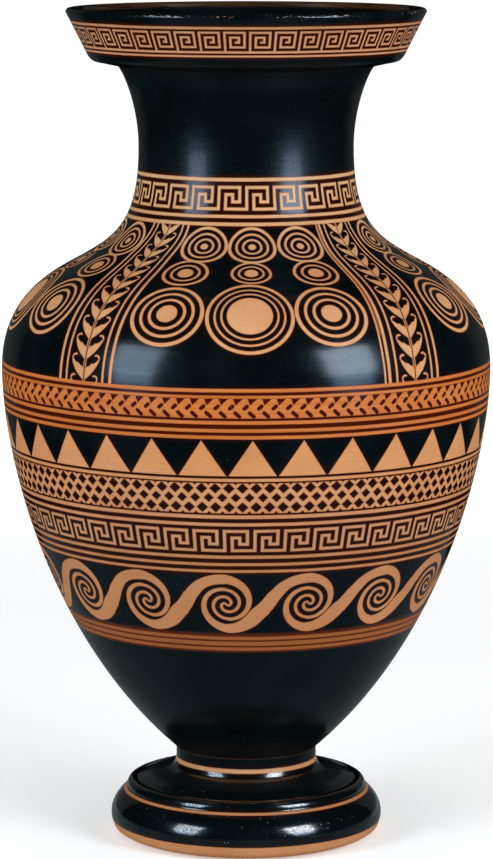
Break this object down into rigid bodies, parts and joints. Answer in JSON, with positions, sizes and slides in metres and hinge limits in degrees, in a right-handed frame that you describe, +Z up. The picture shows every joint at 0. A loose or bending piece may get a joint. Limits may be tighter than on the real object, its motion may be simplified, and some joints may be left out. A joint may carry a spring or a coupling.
{
  "type": "painted clay vase",
  "caption": "Handleless clay vase with a round foot, deep body, narrow neck and flared mouth, glossy black with bands of tan pattern; it holds things or stands as an ornament.",
  "frame": {"origin": "centre of the ring that the foot stands on, at ground level", "axes": "+Z up, along the axis that the vase was turned about; -Y is the side that the picture shows; +X to the viewer's right"},
  "size_m": [0.2472, 0.2472, 0.4217],
  "materials": {
    "painted_clay": "glossy black slip with bands of matt tan and orange pattern"
  },
  "bodies": {
    "root": {"vase": "painted_clay"}
  },
  "joints": []
}
